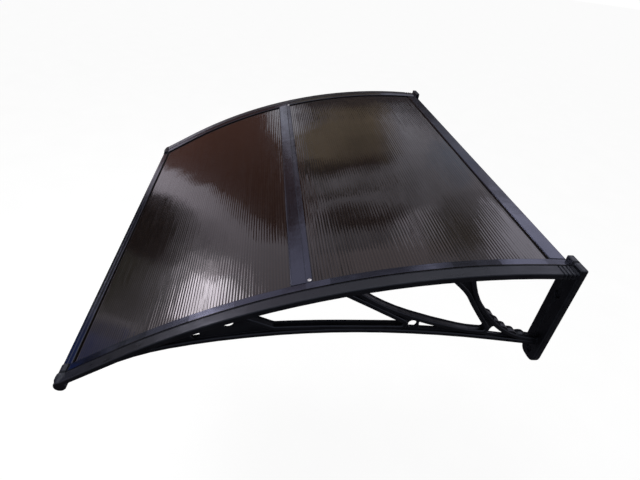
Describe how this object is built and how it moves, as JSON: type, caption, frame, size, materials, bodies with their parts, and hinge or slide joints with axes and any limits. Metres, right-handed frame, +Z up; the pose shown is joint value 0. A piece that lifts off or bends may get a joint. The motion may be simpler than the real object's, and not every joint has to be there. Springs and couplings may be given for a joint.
{
  "type": "door canopy",
  "caption": "Curved polycarbonate door canopy: twin-wall tinted sheets in dark aluminium bars, carried by moulded scrollwork wall brackets.",
  "frame": {"origin": "crown of the roof's arc on the wall plane, midway between the brackets", "axes": "+X along the wall, +Y into the wall, so the canopy reaches towards -Y, +Z up"},
  "size_m": [1.203, 1.0064, 0.3559],
  "materials": {
    "black_plastic": "satin",
    "dark_aluminium": "satin anodised",
    "tinted_sheet": "gloss, bronze tint",
    "black_rubber": "matt",
    "bright_steel": "zinc plated"
  },
  "bodies": {
    "root": {"bracket_right": "black_plastic", "edge_strip_right": "dark_aluminium", "side_seal_right": "black_rubber", "bracket_left": "black_plastic", "edge_strip_left": "dark_aluminium", "side_seal_left": "black_rubber", "rear_bar": "dark_aluminium", "joint_bar": "dark_aluminium", "front_bar": "dark_aluminium", "sheet_rear": "tinted_sheet", "sheet_front": "tinted_sheet", "seal_rear_bar": "black_rubber", "seal_joint_rear": "black_rubber", "seal_joint_front": "black_rubber", "seal_front_bar": "black_rubber", "joint_screw_right": "bright_steel", "joint_screw_left": "bright_steel", "rear_bar_screw_right": "bright_steel", "rear_bar_screw_left": "bright_steel", "front_bar_screw_right": "bright_steel", "front_bar_screw_left": "bright_steel"}
  },
  "joints": []
}
